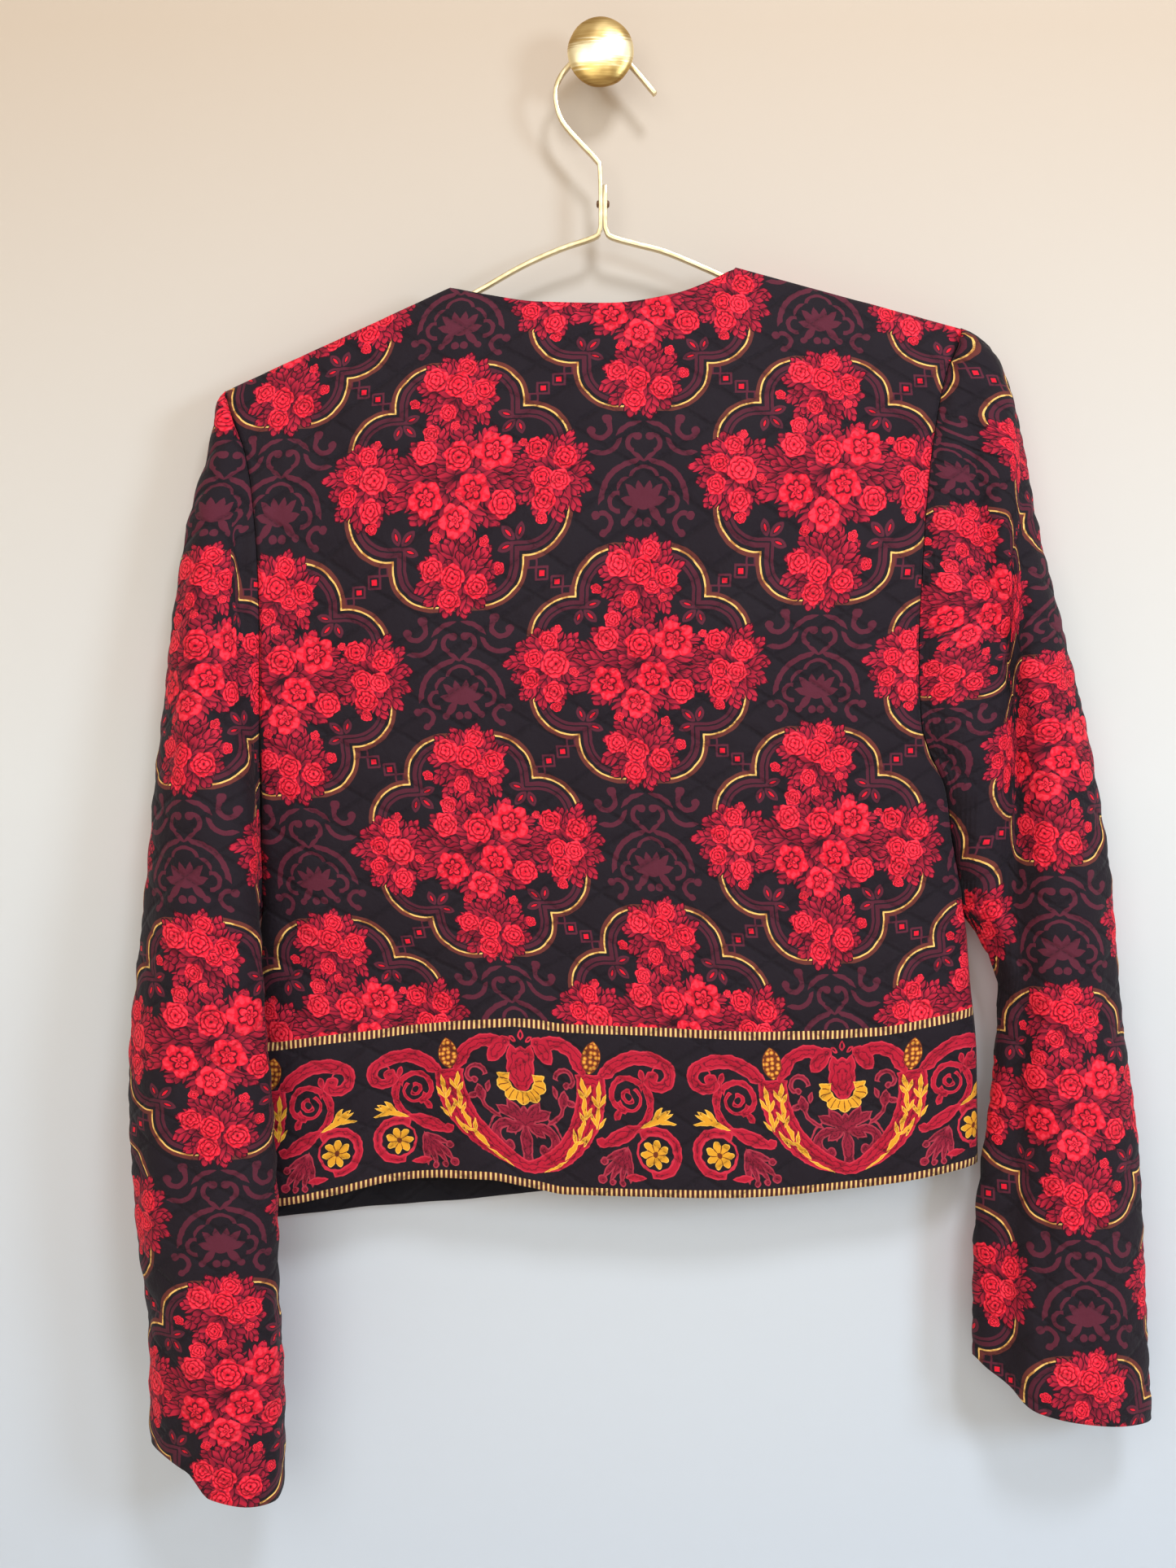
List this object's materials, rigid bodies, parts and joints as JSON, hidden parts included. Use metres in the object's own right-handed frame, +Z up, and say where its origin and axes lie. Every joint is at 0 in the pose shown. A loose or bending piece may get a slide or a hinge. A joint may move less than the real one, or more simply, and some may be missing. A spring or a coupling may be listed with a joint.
{
  "type": "quilted jacket on hanger and wall hook",
  "caption": "Cropped collarless quilted jacket with long sleeves, hung back to the room from a flat strip hanger on a round domed wall hook.",
  "frame": {"origin": "middle of the wall hook's flat wall face", "axes": "+Z up, +Y into the wall, +X to the right seen from the room; the jacket's back faces -Y"},
  "size_m": [0.5722, 0.0851, 0.8226],
  "materials": {
    "quilted_cloth": "matt printed cotton, quilted in small diamonds",
    "hanger_metal": "satin, pale champagne gold",
    "rivet_metal": "satin, brown",
    "hook_brass": "brushed across the dome"
  },
  "bodies": {
    "root": {"back": "quilted_cloth", "front_left": "quilted_cloth", "front_right": "quilted_cloth", "sleeve_left": "quilted_cloth", "sleeve_right": "quilted_cloth", "hanger_hook_strip": "hanger_metal", "hanger_arm_strip": "hanger_metal", "hanger_rivet": "rivet_metal", "hook_post": "hook_brass", "hook_disc": "hook_brass"}
  },
  "joints": []
}
